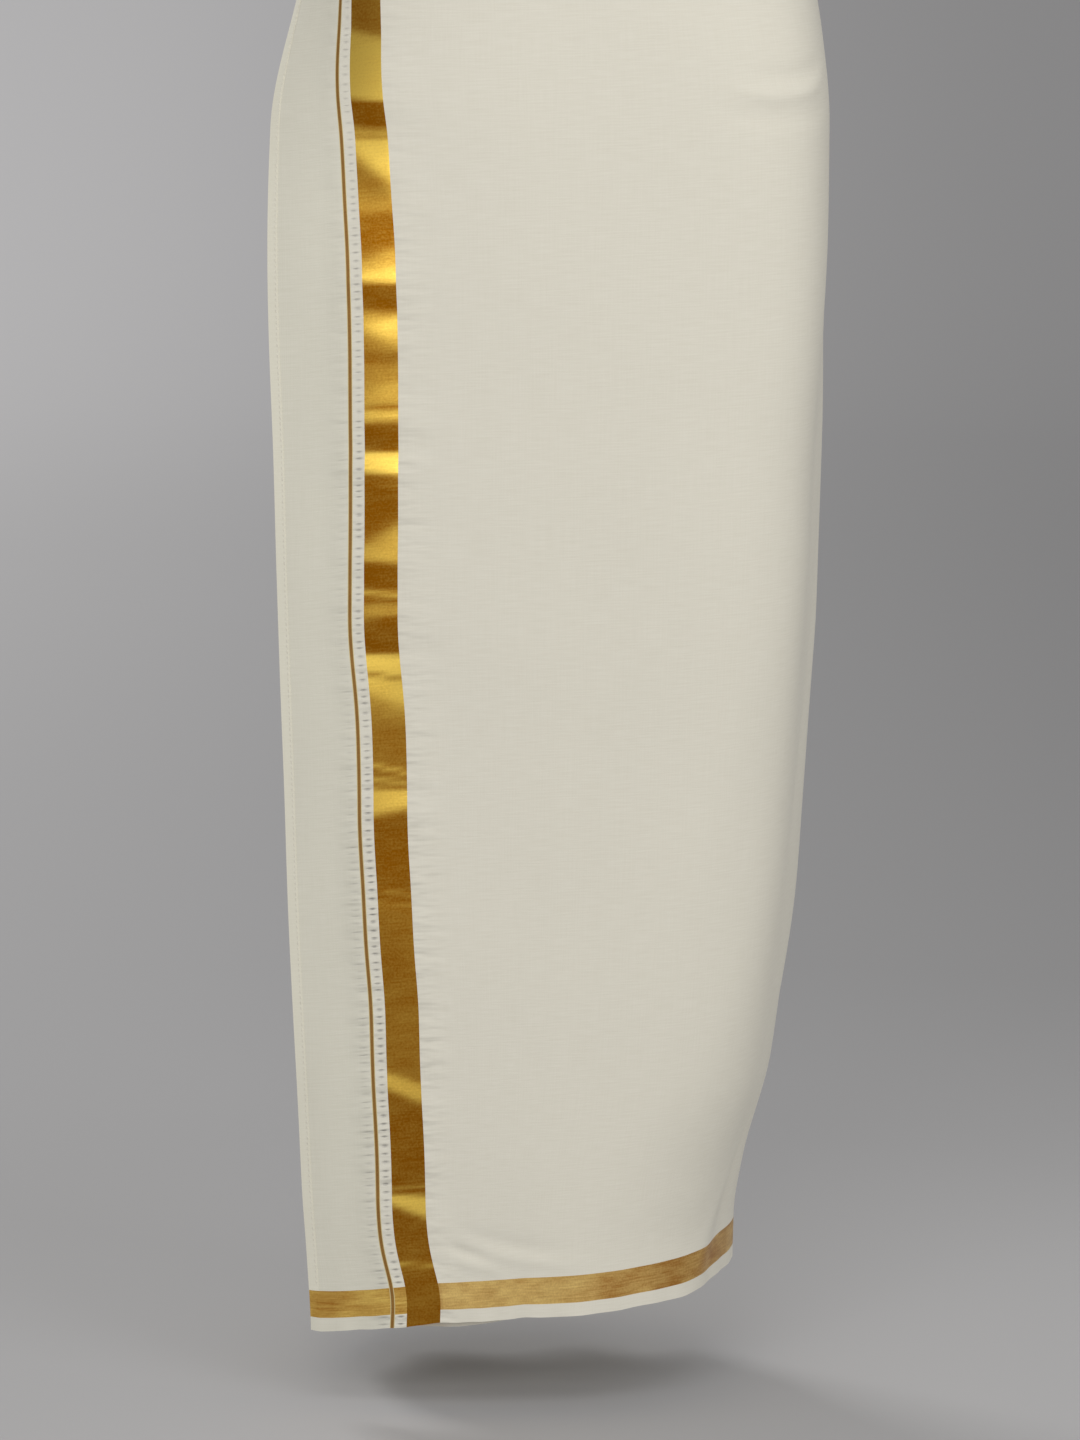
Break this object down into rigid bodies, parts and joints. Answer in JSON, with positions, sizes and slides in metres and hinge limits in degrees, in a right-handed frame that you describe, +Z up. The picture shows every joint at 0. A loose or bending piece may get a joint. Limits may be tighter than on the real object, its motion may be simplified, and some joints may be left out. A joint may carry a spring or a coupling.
{
  "type": "worn dhoti",
  "caption": "Plain wrapped dhoti in worn form: a long cream cotton cloth with gold woven borders, wound round an empty waist, with a free flap at the front left.",
  "frame": {"origin": "centre of the waist opening, level with the top of the rolled waist", "axes": "+Z up, -Y out of the front, +X to the right of someone who looks at the front"},
  "size_m": [0.3631, 0.2563, 1.0128],
  "materials": {
    "cream_cotton": "fine plain weave, ironed, soft satin sheen",
    "gold_zari": "metallic gold thread, woven dense, glossy along the outer end and softer along the hem",
    "bronze_thread": "thin woven line of brown and gold thread"
  },
  "bodies": {
    "root": {"end_hem": "cream_cotton", "end_margin": "cream_cotton", "end_line": "bronze_thread", "end_gap": "cream_cotton", "end_band": "gold_zari", "front_wrap": "cream_cotton", "back_wrap_right": "cream_cotton", "back_wrap_left": "cream_cotton", "under_wrap_left": "cream_cotton", "under_wrap_right": "cream_cotton", "inner_wrap_right": "cream_cotton", "inner_wrap_left": "cream_cotton", "hem_band_margin": "gold_zari", "hem_band_gap": "gold_zari", "hem_band_front": "gold_zari", "hem_band_back": "gold_zari", "hem_band_under": "gold_zari", "hem_band_inner": "gold_zari", "selvedge_margin": "cream_cotton", "selvedge_gap": "cream_cotton", "selvedge_front": "cream_cotton", "selvedge_back": "cream_cotton", "selvedge_under": "cream_cotton", "selvedge_inner": "cream_cotton", "waist_roll": "cream_cotton"}
  },
  "joints": []
}
